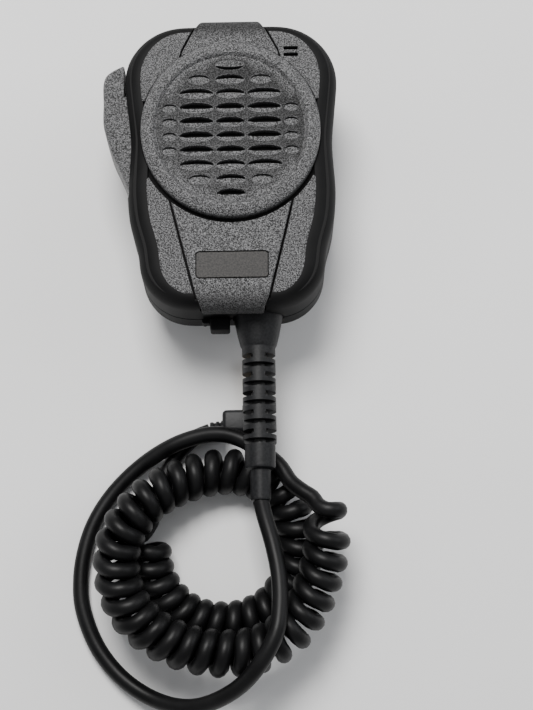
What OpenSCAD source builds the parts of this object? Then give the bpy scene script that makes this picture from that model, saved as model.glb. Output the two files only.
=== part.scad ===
// Hand microphone: speaker housing with a push-to-talk paddle, a swivelling belt clip
// and a curly cord with a jack plug. It lies on its clip with its face up.
// +Z points out of the face, +Y to the top end, +X to the right seen from the front.
// The origin is where the clip's swivel axis meets the surface that the clip rests on.

/* [Housing] */
// Half the widest width over the rubber edges
half_w = 30.7; // [30.4:0.1:31]
// Radius of the two top corners
top_r = 17; // [16.5:0.1:17.5]
// Y of the top edge
top_y = 42.4; // [42:0.1:42.8]
// Radius of the two bottom corners
foot_r = 14; // [13.5:0.1:14.2]
// Y of the bottom edge
foot_y = -42; // [-42.4:0.1:-41.6]
// Thickness of the rubber around the sides
rubber_t = 1.9; // [1.8:0.05:2]
// Wall of both shells
wall = 2; // [1.8:0.05:2.1]
// Height of the back of the rear shell
back_z = 11; // [11:0.1:11.2]
// Height of the seam between the shells
seam_z = 22; // [21.9:0.1:22.1]
// Height of the front shell's face
face_z = 36.6; // [36.4:0.1:36.8]

/* [Speaker grille] */
// Y of the grille's centre
grille_y = 9; // [8.8:0.1:9.2]
// Radius of the grille disc
grille_r = 25.8; // [25.4:0.1:26]
// Spacing of the rows of slots
row_pitch = 4.28; // [4.2:0.02:4.3]
// Radius of the loudspeaker's rim
speaker_r = 18.4; // [18.2:0.1:18.5]

/* [Talk paddle] */
// Y of the paddle's hinge pin
pin_y = -5.5; // [-5.7:0.1:-5.3]
// Y of the switch that the paddle presses
switch_y = 8; // [7.5:0.5:8.5]

/* [Cable and jacks] */
// X of the cable boot
boot_x = 6.9; // [6.8:0.1:7]
// Height of the cable and of the earphone socket
cable_z = 22; // [21.9:0.1:22.1]
// Diameter of the cord
cord_d = 4.6; // [4.4:0.1:4.7]
// Outer diameter of the curly stretch
curl_d = 13.4; // [13:0.1:13.4]
// X of the earphone socket
jack_x = -3.9; // [-4:0.1:-3.8]
// Radius of the bore of the earphone socket
jack_r = 1.8; // [1.75:0.05:1.85]
// Radius of the plug's shaft
plug_r = 1.75; // [1.7:0.05:1.75]

/* [Belt clip] */
// Half the width of the clip's arm
arm_w = 11; // [10.5:0.5:11]
// Y of the arm's hinge pin
hinge_y = 14; // [13.8:0.1:14.2]
// Height of the arm's hinge pin
hinge_z = 5.9; // [5.8:0.1:6]
// Radius of the arm's hinge pin
hinge_r = 1; // [0.95:0.05:1.05]

/* [Hidden] */
$fn = 48;
eps = 0.01;
cavity = rubber_t + wall;
top_c = [half_w - top_r, top_y - top_r];
foot_c = [12.2, foot_y + foot_r];
side_points = [[half_w - 2, 7], [half_w - 1.1, -8], [half_w - 1.8, -16.5]];
floor_z = back_z + wall;
ceiling_z = face_z - wall;
spine_t = 1.1;
spine_z = face_z + spine_t;
pad_t = 0.7;
disc_z = spine_z + 2.2;
board_z = 17.6;
board_t = 1.6;
deck_z = board_z + board_t;
boss_r = 2.6;
boss_at = [[21, 27.5], [-21, 27.5], [17.5, -29.5], [-17.5, -29.5]];
screw_r = 1.1;
speaker_screws_at = [90, 210, 330];
speaker_screw_r = 20.2;
board_screws_at = [[13, 27], [-14, -17]];
clamp_y = -24;
clamp_at = [[boot_x - 6, clamp_y], [boot_x + 6, clamp_y]];
pin_x = -26.5;
window_z = [16.6, 33.4];
paddle_z = [17.1, 32.9];
shell_end = foot_y + rubber_t;
cap_hinge = [jack_x - 4.3, foot_y - 0.9];
mic_at = [15.8, 31.8];
slots_at = [16.9, 32.7];
label_size = [20.5, 8];
label_y = -30.6;
stud_r = 1.9;
swivel_r = 9.5;
running = 0.07;
tab_y = top_y + 1.2;
half_spine = [[8.2, tab_y], [13.8, 32.6], [16.9, -11.8], [10.1, -39.5], [8.8, -43]];
boot_end = -94.1;
tube_y = -50.4;
collar_y = -78.3;
sleeve_y = -85.4;
slot_pitch = 5.4;
plug_y = -68.2;
plug_z = 3.6;

// Centre line of the cord from the boot to the start of the curly stretch
lead_route = [
    [boot_x, boot_end, cable_z], [8, -99, 22], [10, -106.5, 22.6], [11.5, -115, 23.8],
    [11.6, -124, 25.6], [10.4, -131, 26.9], [6.2, -138.6, 25.6], [0, -144.8, 20],
    [-9, -148.8, 13], [-15.6, -149.2, 9.2], [-24.2, -146.6, 5], [-33, -140.6, 2.9],
    [-40, -131.8, 2.3], [-44.2, -120.8, 2.3], [-44.8, -113.6, 2.3], [-44, -106, 2.3],
    [-41.2, -97, 2.3], [-35.6, -88.2, 2.6], [-27, -80.2, 4.2], [-17.4, -75, 7.2],
    [-9, -72.8, 8.8], [-3.2, -73, 10], [1.6, -74.8, 11.2], [7, -78.4, 12.4],
    [12, -82.6, 13.8], [15.4, -88, 15.8], [18.6, -91, 17.6], [21.5, -93.2, 18.8]
];
// Centre line of the curly stretch: first its raised outer turn, then its inner turn
outer_route = [
    [21.5, -93.2, 18.8], [24.2, -97, 18.2], [25, -102, 17.9], [24.6, -108, 17.8],
    [22.8, -115, 17.8], [19.8, -122, 17.8], [14.8, -129, 17.8], [7.4, -133.8, 17.8],
    [0, -135.4, 17.8], [-7.4, -135.2, 17.8], [-14.6, -133.6, 17.8], [-21.6, -130.4, 17.8],
    [-28, -125.2, 17.8], [-31.9, -118.4, 17.8], [-33.3, -111, 17.8], [-32.4, -103.6, 17.6],
    [-28.4, -96.2, 16], [-21.6, -89.6, 12.6], [-12.4, -85, 8.7], [-3.8, -83.2, 6.9],
    [4.2, -84.2, 6.7]
];
inner_route = [
    [4.2, -84.2, 6.7], [10.6, -87.8, 6.7], [15, -93.8, 6.7], [17.2, -101, 6.7],
    [17.2, -109, 6.7], [14.6, -116.2, 6.7], [9.6, -122.2, 6.7], [3, -125.6, 6.7],
    [-4, -126.7, 6.7], [-11.4, -125.4, 6.7], [-18, -121.4, 6.7], [-22.6, -115.6, 6.7],
    [-25, -108.6, 6.7], [-25.2, -102, 6.7]
];
// Centre line of the cord from the curly stretch to the plug
tail_route = [
    [-25.2, -102, 2.3], [-24.8, -96.6, 2.3], [-23.6, -91, 2.3], [-21.6, -85.4, 2.3],
    [-19, -79.8, 2.3], [-15.6, -75.4, 2.4], [-11.8, -72.2, 2.9], [-7.6, plug_y - 2.4, plug_z]
];

function arc(c, r, a0, a1, n) =
    [for (i = [0 : n]) c + r * [cos(a0 + (a1 - a0) * i / n), sin(a0 + (a1 - a0) * i / n)]];
function flip(p) = [for (i = [len(p) - 1 : -1 : 0]) [-p[i][0], p[i][1]]];
function half_outline(inset) = concat(
    arc(top_c, top_r - inset, 90, 0, 9),
    [for (p = side_points) [p[0] - inset, p[1]]],
    arc(foot_c, foot_r - inset, 8, -90, 9)
);
function outline(inset) = concat(half_outline(inset), flip(half_outline(inset)));
function unit(v) = v / norm(v);
function heading(p, i) = unit(p[min(i + 1, len(p) - 1)] - p[max(i - 1, 0)]);
function ring(c, t, r, n) =
    let (side = unit(cross(t, [0, 0, 1])), up = cross(side, t))
    [for (k = [0 : n - 1]) c + r * (cos(360 * k / n) * side + sin(360 * k / n) * up)];

// A round tube along a list of points
module tube(route, r, n) {
    last = len(route) - 1;
    rings = [for (i = [0 : last]) each ring(route[i], heading(route, i), r, n)];
    sides = [for (i = [0 : last - 1]) for (k = [0 : n - 1])
        [i * n + k, i * n + (k + 1) % n, (i + 1) * n + (k + 1) % n, (i + 1) * n + k]];
    start = [for (k = [n - 1 : -1 : 0]) k];
    end = [for (k = [0 : n - 1]) last * n + k];
    polyhedron(rings, concat([start, end], sides), convexity = 8);
}

// A layer of the housing's outline between two heights
module slab(inset, z0, z1) {
    translate([0, 0, z0]) linear_extrude(z1 - z0) polygon(outline(inset));
}

module post(at, r, z0, z1) {
    translate([at[0], at[1], z0]) cylinder(r = r, h = z1 - z0);
}

// A cylinder along -Y from y0 to y1 on the cable's height
module along_y(x, y0, y1, r0, r1) {
    translate([x, y0, cable_z]) rotate([90, 0, 0]) cylinder(r1 = r0, r2 = r1, h = y0 - y1);
}

module box(lo, hi) {
    translate(lo) cube(hi - lo);
}

// The openings that both shells, the seal and the rubber leave in the walls
module wall_openings() {
    box([-32, -8.8, window_z[0]], [-24.2, 22.2, window_z[1]]);
    along_y(boot_x, -36, foot_y - 1, 4.1, 4.1);
    along_y(jack_x, -36, foot_y - 1, 3, 3);
}

module seal_groove() {
    difference() {
        slab(2.45, seam_z - 0.45, seam_z + 0.45);
        slab(3.45, seam_z - 1, seam_z + 1);
    }
}

module front_shell() {
    color("#2b2c2e") difference() {
        union() {
            difference() {
                slab(rubber_t, seam_z, face_z);
                slab(cavity, seam_z - 1, ceiling_z);
            }
            for (at = boss_at) post(at, boss_r, seam_z, face_z - 1);
            for (a = speaker_screws_at)
                post([0, grille_y] + speaker_screw_r * [cos(a), sin(a)], 1.5, 33.2, face_z - 1);
            pads();
        }
        post([0, grille_y], 19, ceiling_z - 1, face_z + 2);
        for (at = boss_at) post(at, screw_r, seam_z - 1, seam_z + 9);
        for (a = speaker_screws_at)
            post([0, grille_y] + speaker_screw_r * [cos(a), sin(a)], 0.7, 32, 36);
        for (s = [-1, 1])
            box([slots_at[0] - 2.2, slots_at[1] + s * 1.05 - 0.6, ceiling_z - 1],
                [slots_at[0] + 2.2, slots_at[1] + s * 1.05 + 0.6, face_z + 2]);
        wall_openings();
        seal_groove();
        post([pin_x, pin_y], 0.75, 30, 34.2);
    }
}

// The four textured fields beside the spine
module pads() {
    difference() {
        slab(4.4, face_z - 0.1, face_z + pad_t);
        translate([0, 0, face_z - 1]) linear_extrude(3)
            polygon([for (p = concat(half_spine, flip(half_spine))) [p[0] + sign(p[0]) * 0.4, p[1]]]);
        post([0, grille_y], grille_r + 0.3, face_z - 1, face_z + 2);
    }
}

module rear_shell() {
    color("#242527") difference() {
        union() {
            difference() {
                union() {
                    slab(cavity + 0.4, back_z, floor_z);
                    slab(rubber_t, back_z + 1.2, seam_z);
                }
                slab(cavity, floor_z, seam_z + 1);
            }
            for (at = boss_at) post(at, boss_r, floor_z - 0.5, seam_z);
            for (at = concat(board_screws_at, clamp_at)) post(at, 2.1, floor_z - 0.5, board_z);
            post([0, 0], 5, floor_z - 0.5, 17);
        }
        for (at = boss_at) post(at, screw_r + 0.15, back_z - 1, seam_z + 1);
        for (at = boss_at) post(at, 2.2, back_z - 1, back_z + 1.4);
        for (at = concat(board_screws_at, clamp_at)) post(at, 0.8, floor_z, board_z + 1);
        post([0, 0], stud_r, back_z - 1, 16.4);
        post([0, 0], 6.2, back_z - 1, back_z + 0.8);
        wall_openings();
        seal_groove();
        post([pin_x, pin_y], 0.75, 15.4, 18);
    }
}

module housing_seal() {
    color("#111111") difference() {
        slab(2.5, seam_z - 0.4, seam_z + 0.4);
        slab(3.4, seam_z - 1, seam_z + 1);
        box([-32, -9.2, 16], [-25, 22.6, 34]);
        along_y(boot_x, -36, foot_y - 1, 4.4, 4.4);
        along_y(jack_x, -36, foot_y - 1, 3.3, 3.3);
    }
}

module housing_screws() {
    color("#8f9194") for (at = boss_at) difference() {
        union() {
            post(at, 2.05, back_z + 0.1, back_z + 1.4);
            post(at, screw_r, back_z + 1.3, seam_z + 7);
        }
        for (a = [0, 90]) translate([at[0], at[1], back_z]) rotate([0, 0, a])
            cube([2.4, 0.6, 1.4], center = true);
    }
}

// Rubber around one side of the housing; s is -1 on the left and 1 on the right
module bumper(s) {
    difference() {
        slab(0, 14, face_z);
        slab(rubber_t, 13, face_z + 1);
        box([s > 0 ? -40 : 0, -60, 0], [s > 0 ? 0 : 40, 60, 60]);
        box([-8.9, 38, 27.9], [8.9, 46, 60]);
        box([-8.9, -46, 30.9], [8.9, -38, 60]);
        along_y(boot_x, -36, foot_y - 1, 7.3, 7.3);
        along_y(jack_x, -36, foot_y - 1, 3.1, 3.1);
    }
}

module bumper_left() {
    color("#151516") difference() {
        bumper(-1);
        box([-32, -8.8, window_z[0]], [-25, 31.4, window_z[1]]);
    }
}

module bumper_right() {
    color("#151516") bumper(1);
}

module spine_panel() {
    color("#2f3033") difference() {
        union() {
            translate([0, 0, face_z]) linear_extrude(spine_t)
                polygon(concat(half_spine, flip(half_spine)));
            box([-8.2, top_y, 28], [8.2, tab_y, spine_z]);
            box([-8.8, -43, 31], [8.8, foot_y, spine_z]);
        }
        post([0, grille_y], 19, face_z - 1, spine_z + 1);
        box([-label_size[0] / 2, label_y - label_size[1] / 2, spine_z - 0.6],
            [label_size[0] / 2, label_y + label_size[1] / 2, spine_z + 1]);
    }
}

// One slot of the grille: a shallow round-ended dimple with a slit through its floor
module grille_slot(x, row, w) {
    translate([x, grille_y + (4.5 - row) * row_pitch, disc_z - 1.2]) {
        cube([w - 2.6, 2.6, 3], center = true);
        for (s = [-1, 1]) translate([s * (w / 2 - 1.3), 0, -0.8]) cylinder(r = 1.3, h = 3, $fn = 24);
    }
}

module speaker_grille() {
    color("#2f3033") difference() {
        translate([0, grille_y, 0]) rotate_extrude() polygon([
            [0, spine_z - 0.2], [17.4, spine_z - 0.2], [17.4, face_z - 0.4],
            [18.85, face_z - 0.4], [18.85, spine_z], [grille_r, spine_z],
            [grille_r, spine_z + 0.6], [grille_r - 0.8, disc_z], [20.4, disc_z + 0.2],
            [19.8, disc_z - 0.4], [0, disc_z - 0.4]
        ]);
        for (row = [0 : 9]) grille_slot(0, row, 8.1);
        for (row = [1 : 8]) for (s = [-1, 1])
            grille_slot(s * 9.6 - (row % 7 == 1 ? s * 0.8 : 0), row, row % 7 == 1 ? 6 : 9.6);
        for (row = [3 : 6]) for (s = [-1, 1]) grille_slot(s * 17.2, row, 3.8);
    }
}

module label_plate() {
    color("#3a3836") box([0.15 - label_size[0] / 2, label_y - 3.85, spine_z - 0.55],
        [label_size[0] / 2 - 0.15, label_y + 3.85, spine_z - 0.15]);
}

module dust_cloth() {
    color("#0c0c0d") post([0, grille_y], 18.3, ceiling_z - 0.4, ceiling_z);
}

// A ring round the loudspeaker's axis
module band(r0, r1, z0, z1) {
    translate([0, grille_y, 0]) difference() {
        translate([0, 0, z0]) cylinder(r = r1, h = z1 - z0);
        translate([0, 0, z0 - 1]) cylinder(r = r0, h = z1 - z0 + 2);
    }
}

module speaker_gasket() {
    color("#1b1b1b") band(15.6, speaker_r, 33.6, ceiling_z - 0.45);
}

module speaker_basket() {
    color("#9a9a98") translate([0, grille_y, 0]) rotate_extrude() polygon([
        [15.6, 33.5], [speaker_r, 33.5], [speaker_r, 32.7], [16.6, 32.7],
        [10.4, 26.6], [5.4, 26.6], [5.4, 27.4], [9.9, 27.4], [15.6, 33]
    ]);
}

module speaker_screws() {
    color("#8f9194") for (a = speaker_screws_at) {
        at = [0, grille_y] + speaker_screw_r * [cos(a), sin(a)];
        post(at, 2.2, 31.7, 32.65);
        post(at, 0.7, 32.6, 35.8);
    }
}

module speaker_cone() {
    color("#201f1e") translate([0, grille_y, 0]) rotate_extrude() polygon([
        [15, 33.2], [15, 32.9], [5.2, 28.9], [0, 30.2], [0, 30.5], [5.2, 29.2]
    ]);
}

module voice_coil() {
    color("#b4703a") band(4.75, 5.05, 25, 28.85);
}

module top_plate() {
    color("#b9babc") band(5.4, 9, 25.6, 26.55);
}

module speaker_magnet() {
    color("#55565a") band(6, 9.6, 23, 25.55);
}

module magnet_yoke() {
    color("#b9babc") {
        post([0, grille_y], 9, 21.6, 22.95);
        post([0, grille_y], 4.4, 22.9, 26.5);
    }
}

module speaker_leads() {
    color("#b03028") for (s = [-1, 1])
        post([s * 1.6, grille_y - 17.5], 0.45, deck_z, 32.65);
}

module mic_capsule() {
    color("#c9cacc") post(mic_at, 2.25, 30.5, 33);
}

module mic_holder() {
    color("#161616") difference() {
        post(mic_at, 2.9, 29.6, ceiling_z - 0.05);
        post(mic_at, 2.3, 30.45, ceiling_z);
    }
}

module mic_mesh() {
    color("#0c0c0d") post(mic_at, 2.2, 33.9, 34.2);
}

module circuit_board() {
    color("#1f6b3a") difference() {
        slab(6.3, board_z, deck_z);
        for (at = boss_at) post(at, 3.1, board_z - 1, deck_z + 1);
        for (at = concat(board_screws_at, clamp_at)) post(at, 1.05, board_z - 1, deck_z + 1);
        box([-40, -60, board_z - 1], [40, -33.6, deck_z + 1]);
        box([-40, -12, board_z - 1], [-23.4, 40, deck_z + 1]);
    }
}

module board_screws() {
    color("#8f9194") for (at = board_screws_at) {
        post(at, 1.8, deck_z, deck_z + 1.3);
        post(at, 0.8, floor_z + 0.6, deck_z);
    }
}

module talk_paddle() {
    color("#2f3033") difference() {
        translate([0, 0, paddle_z[0]]) linear_extrude(paddle_z[1] - paddle_z[0]) union() {
            polygon([
                [-30.5, 30.8], [-31.4, 30.5], [-35.2, 28.9], [-36.5, 27], [-36.5, 13.4],
                [-35.5, 9.7], [-34.6, 6], [-32.9, 2.3], [-31.4, -1.3], [-30, -5],
                [-28.9, -7.6], [-27.6, -7.6], [-27.6, 21.2], [-30.5, 21.6]
            ]);
            translate([pin_x, pin_y]) circle(r = 1.7);
        }
        post([pin_x, pin_y], 0.75 + running, 10, 40);
    }
}

module paddle_pin() {
    color("#b9babc") post([pin_x, pin_y], 0.75, 15.45, 34.15);
}

module paddle_membrane() {
    color("#161616") difference() {
        union() {
            box([-24.6, -2.4, 15.6], [-24, 23.4, ceiling_z - 0.2]);
            intersection() {
                slab(cavity + 0.04, 15.6, ceiling_z - 0.2);
                box([-28, -2.4, 10], [-24.3, 23.4, 40]);
            }
        }
        box([-28, -8.8, window_z[0]], [-24.6, 22.2, window_z[1]]);
        translate([-26, switch_y, 25]) rotate([0, 90, 0]) cylinder(r = 2.1, h = 3);
    }
}

module switch_plunger() {
    color("#3a3a3a") translate([-27.5, switch_y, 25]) rotate([0, 90, 0]) cylinder(r = 1.8, h = 4);
}

module talk_switch() {
    color("#44464a") box([-22.8, switch_y - 3, deck_z], [-19.4, switch_y + 3, 28.4]);
}

module earphone_socket() {
    color("#1c1d1f") difference() {
        union() {
            box([jack_x - 2.8, -38, deck_z], [jack_x + 2.8, -27, 24.8]);
            along_y(jack_x, -37.9, -40.2, 2.85, 2.85);
        }
        along_y(jack_x, -28, foot_y, jack_r, jack_r);
    }
}

module socket_cap() {
    color("#121213") {
        along_y(jack_x, -40.9, foot_y - 0.2, 2.2, 2.2);
        box([jack_x - 2.8, -45.8, 19], [jack_x + 2.8, foot_y - 0.1, 25]);
        box([cap_hinge[0], cap_hinge[1] - 0.8, 20.3], [jack_x - 2.7, foot_y - 0.1, 23.7]);
        post(cap_hinge, 0.8, 20.3, 23.7);
    }
}

module cable_boot() {
    color("#1d1e20") difference() {
        union() {
            along_y(boot_x, -36.1, -38.05, 5.4, 5.4);
            along_y(boot_x, -38, shell_end, 4, 4);
            along_y(boot_x, shell_end, tube_y, 7.1, 5);
            along_y(boot_x, tube_y, collar_y, 4.7, 4.7);
            along_y(boot_x, collar_y, sleeve_y, 4.3, 4.3);
            along_y(boot_x, sleeve_y, boot_end + 0.1, 2.9, 2.8);
        }
        along_y(boot_x, -36, boot_end, cord_d / 2 + 0.05, cord_d / 2 + 0.05);
        for (i = [0 : 4]) {
            flex_slot(-53.7 - slot_pitch * i, 1.6, 6);
            flex_slot(-56.3 - slot_pitch * i, 6, 1.6);
        }
    }
}

// A slot round the boot, broken by webs that are web_x wide or web_z high
module flex_slot(y, web_x, web_z) {
    difference() {
        along_y(boot_x, y, y - 1.4, 6, 6);
        along_y(boot_x, y + 1, y - 3, 3.1, 3.1);
        if (web_x < web_z) box([boot_x - web_x, y - 3, 10], [boot_x + web_x, y + 1, 40]);
        else box([boot_x - 10, y - 3, cable_z - web_z], [boot_x + 10, y + 1, cable_z + web_z]);
    }
}

module cable_core() {
    color("#101011") along_y(boot_x, -20, boot_end, cord_d / 2, cord_d / 2);
}

module cable_clamp() {
    color("#b9babc") difference() {
        union() {
            box([boot_x - 8, clamp_y - 2, deck_z], [boot_x + 8, clamp_y + 2, deck_z + 1.2]);
            along_y(boot_x, clamp_y + 2, clamp_y - 2, 3.4, 3.4);
        }
        along_y(boot_x, clamp_y + 3, clamp_y - 3, cord_d / 2 + 0.03, cord_d / 2 + 0.03);
        box([boot_x - 4, clamp_y - 3, 18], [boot_x + 4, clamp_y + 3, deck_z]);
        for (at = clamp_at) post(at, 1, deck_z - 1, deck_z + 3);
    }
}

module clamp_screws() {
    color("#8f9194") for (at = clamp_at) {
        post(at, 1.6, deck_z + 1.2, deck_z + 2.3);
        post(at, 0.8, floor_z + 0.6, deck_z + 1.2);
    }
}

module inner_wires() {
    color("#b03028") for (i = [0 : 3])
        translate([boot_x - 1.35 + 0.9 * i, -15, deck_z + 1.7]) rotate([90, 0, 0])
            cylinder(r = 0.35, h = 5, $fn = 16);
}

module wire_connector() {
    color("#e8e4d8") box([boot_x - 3.4, -15, deck_z], [boot_x + 3.4, -11.6, deck_z + 3]);
}

module swivel_screw() {
    color("#8f9194") difference() {
        union() {
            post([0, 0], 3.4, 8.5, 9.6);
            post([0, 0], stud_r, 9.5, 16.35);
        }
        box([-2.6, -0.5, 8], [2.6, 0.5, 9.1]);
    }
}

module swivel_washer() {
    color("#b9babc") difference() {
        post([0, 0], 6, 10.7, back_z + 0.75);
        post([0, 0], 2.1, 10, 13);
    }
}

module clip_base() {
    color("#1d1e20") difference() {
        union() {
            post([0, 0], swivel_r, 8.4, 10.6);
            box([-10, 0, 8.4], [10, 16, 10.6]);
            for (s = [-1, 1]) translate([s * 9, hinge_y, hinge_z]) rotate([0, 90, 0])
                cylinder(r = 2.1, h = 2, center = true);
            for (s = [-1, 1]) box([s * 9 - 1, hinge_y - 2.1, hinge_z], [s * 9 + 1, hinge_y + 2, 8.5]);
        }
        post([0, 0], 3.6, 8, 9.7);
        post([0, 0], stud_r + running, 8, 11);
        hinge_hole(hinge_r);
    }
}

module hinge_hole(r) {
    translate([-20, hinge_y, hinge_z]) rotate([0, 90, 0]) cylinder(r = r, h = 40);
}

module clip_arm() {
    color("#1d1e20") difference() {
        union() {
            box([-arm_w, -30, 0], [arm_w, 24, 2.2]);
            box([-arm_w, -30, 0], [arm_w, -28.2, 9.6]);
            for (s = [-1, 1]) translate([s * 6.4, hinge_y, hinge_z]) rotate([0, 90, 0])
                cylinder(r = 2.1, h = 2.2, center = true);
            for (s = [-1, 1]) box([s * 6.4 - 1.1, hinge_y - 2.1, 2], [s * 6.4 + 1.1, hinge_y + 2.1, hinge_z]);
        }
        hinge_hole(hinge_r + running);
        for (i = [0 : 4]) box([-9, 17.2 + 1.3 * i, -1], [9, 17.8 + 1.3 * i, 0.4]);
    }
}

module clip_pin() {
    color("#b9babc") translate([-10, hinge_y, hinge_z]) rotate([0, 90, 0]) cylinder(r = hinge_r, h = 20);
}

module clip_spring() {
    color("#b9babc") translate([0, hinge_y, hinge_z]) rotate([0, 90, 0]) difference() {
        union() {
            cylinder(r = 2.3, h = 9, center = true);
            translate([-2.4, -6.3, -4.3]) cube([0.7, 6, 0.7]);
            translate([1.6, -6.3, 3.6]) cube([0.7, 6, 0.7]);
        }
        cylinder(r = 1.5, h = 20, center = true);
    }
}

module cord_lead() {
    color("#0d0d0e") tube(lead_route, cord_d / 2, 12);
}

module cord_coil_outer() {
    color("#0d0d0e") tube(outer_route, curl_d / 2, 12);
}

module cord_coil_inner() {
    color("#0d0d0e") tube(inner_route, curl_d / 2, 12);
}

module cord_tail() {
    color("#0d0d0e") tube(tail_route, cord_d / 2, 12);
}

module plug_body() {
    color("#121213") {
        box([-4, plug_y - 3.3, 0.2], [9, plug_y + 3.3, 7]);
        translate([-7.6, plug_y - 2.4, plug_z]) rotate([0, 90, 0]) cylinder(r1 = 2.5, r2 = 3, h = 4);
        translate([5, plug_y + 3.2, plug_z]) rotate([-90, 0, 0]) cylinder(r = 3.2, h = 2);
    }
}

module plug_shaft() {
    color("#c8a45a") difference() {
        translate([5, plug_y + 5.2, plug_z]) rotate([-90, 0, 0]) {
            cylinder(r = plug_r, h = 12.4);
            translate([0, 0, 12.4]) cylinder(r1 = plug_r, r2 = 0.7, h = 1.6);
        }
        for (i = [0 : 2]) plug_ring(i, 2);
    }
}

// One insulating ring of the plug, out to radius r
module plug_ring(i, r) {
    translate([5, plug_y + 9.2 + 2.8 * i, plug_z]) rotate([-90, 0, 0]) difference() {
        cylinder(r = r, h = 0.5);
        translate([0, 0, -1]) cylinder(r = 1.35, h = 3);
    }
}

module plug_bands() {
    color("#101011") for (i = [0 : 2]) plug_ring(i, plug_r);
}

front_shell();
rear_shell();
housing_seal();
housing_screws();
bumper_left();
bumper_right();
spine_panel();
speaker_grille();
label_plate();
dust_cloth();
speaker_gasket();
speaker_basket();
speaker_screws();
speaker_cone();
voice_coil();
top_plate();
speaker_magnet();
magnet_yoke();
speaker_leads();
mic_capsule();
mic_holder();
mic_mesh();
circuit_board();
board_screws();
talk_paddle();
paddle_pin();
paddle_membrane();
switch_plunger();
talk_switch();
earphone_socket();
socket_cap();
cable_boot();
cable_core();
cable_clamp();
clamp_screws();
inner_wires();
wire_connector();
swivel_screw();
swivel_washer();
clip_base();
clip_arm();
clip_pin();
clip_spring();
cord_lead();
cord_coil_outer();
cord_coil_inner();
cord_tail();
plug_body();
plug_shaft();
plug_bands();
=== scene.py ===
# Hand microphone with a speaker, talk paddle, belt clip and curly cord, put together piece
# by piece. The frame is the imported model's, in metres: +Z out of the face, +Y to the top
# end, +X to the right seen from the front. Shapes are written in millimetres, times MM.
import math
import bmesh
import bpy
import numpy as np
from mathutils import Matrix, Vector


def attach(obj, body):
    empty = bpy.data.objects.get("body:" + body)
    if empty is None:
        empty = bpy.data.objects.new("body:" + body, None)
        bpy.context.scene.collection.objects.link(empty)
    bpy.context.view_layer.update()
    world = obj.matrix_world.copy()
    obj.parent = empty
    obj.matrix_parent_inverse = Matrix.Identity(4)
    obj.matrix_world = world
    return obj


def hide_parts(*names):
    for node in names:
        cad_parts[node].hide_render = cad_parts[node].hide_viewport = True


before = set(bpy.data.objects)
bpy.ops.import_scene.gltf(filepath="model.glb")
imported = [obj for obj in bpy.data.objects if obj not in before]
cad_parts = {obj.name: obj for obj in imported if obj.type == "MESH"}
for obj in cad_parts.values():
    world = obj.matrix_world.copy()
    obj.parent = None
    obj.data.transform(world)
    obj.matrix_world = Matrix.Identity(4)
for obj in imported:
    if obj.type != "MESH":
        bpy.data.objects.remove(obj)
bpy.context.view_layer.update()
MM = 0.001

# ---------------------------------------------------------------- camera, light and floor
# The microphone lies on its clip on a pale table. The camera looks at it from above its
# foot, 14 degrees off the vertical, under a soft light with a weaker one from the right.
look_at = Vector((9.1, -52.2, 20)) * MM
elevation = math.radians(76)
roll = math.radians(0.94)
distance = 0.493
forward = Vector((0, math.cos(elevation), -math.sin(elevation)))
level_up = Vector((1, 0, 0)).cross(forward)
right = math.cos(roll) * Vector((1, 0, 0)) - math.sin(roll) * level_up
upward = math.cos(roll) * level_up + math.sin(roll) * Vector((1, 0, 0))
camera = bpy.data.objects.new("camera", bpy.data.cameras.new("camera"))
camera.data.lens = 88.2
camera.data.clip_start = 0.01
camera.matrix_world = Matrix.Translation(look_at - distance * forward) @ Matrix(
    (right, upward, -forward)).transposed().to_4x4()
bpy.context.scene.collection.objects.link(camera)
bpy.context.scene.camera = camera


def soft_light(name, place, size, power, tint):
    """A square lamp that faces the middle of the model."""
    lamp = bpy.data.objects.new(name, bpy.data.lights.new(name, "AREA"))
    lamp.data.shape = "SQUARE"
    lamp.data.size = size
    lamp.data.energy = power
    lamp.data.color = tint
    place = Vector(place)
    lamp.matrix_world = Matrix.Translation(place) @ (look_at - place).to_track_quat(
        "-Z", "Y").to_matrix().to_4x4()
    bpy.context.scene.collection.objects.link(lamp)


soft_light("key_lamp", (-0.1, 0.3, 0.78), 0.36, 10, (1, 0.99, 0.975))
soft_light("side_lamp", (0.7, 0.2, 0.5), 0.5, 2, (0.95, 0.97, 1))
world = bpy.data.worlds.new("studio")
world.use_nodes = True
world.node_tree.nodes["Background"].inputs["Color"].default_value = (0.97, 0.98, 1, 1)
world.node_tree.nodes["Background"].inputs["Strength"].default_value = 0.42
bpy.context.scene.world = world


def new_material(name):
    """A node material with its shader, its tree and a function that adds nodes to it."""
    material = bpy.data.materials.new(name)
    material.use_nodes = True
    tree = material.node_tree
    shader = tree.nodes["Principled BSDF"]

    def add(kind, links=(), **values):
        node = tree.nodes.new(kind)
        for key, value in values.items():
            if hasattr(node, key):
                setattr(node, key, value)
            else:
                node.inputs[key.replace("_", " ")].default_value = value
        for source, target in links:
            tree.links.new(source, node.inputs[target])
        return node

    return material, tree, shader, add


def fine_bump(tree, shader, add, coords, scale, strength, depth, detail=2.0):
    """Even grain pressed into a surface; scale is grains per metre, depth is in metres."""
    grain = add("ShaderNodeTexNoise", [(coords, "Vector")], Scale=scale, Detail=detail)
    bump = add("ShaderNodeBump", [(grain.outputs["Fac"], "Height")],
               Strength=strength, Distance=depth)
    tree.links.new(bump.outputs["Normal"], shader.inputs["Normal"])
    return grain


def two_tones(add, fac, low, high, at=(0.35, 0.65)):
    """A colour ramp between two colours."""
    ramp = add("ShaderNodeValToRGB", [(fac, "Fac")])
    ramp.color_ramp.elements[0].position = at[0]
    ramp.color_ramp.elements[1].position = at[1]
    ramp.color_ramp.elements[0].color = (*low, 1)
    ramp.color_ramp.elements[1].color = (*high, 1)
    return ramp.outputs["Color"]


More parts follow.
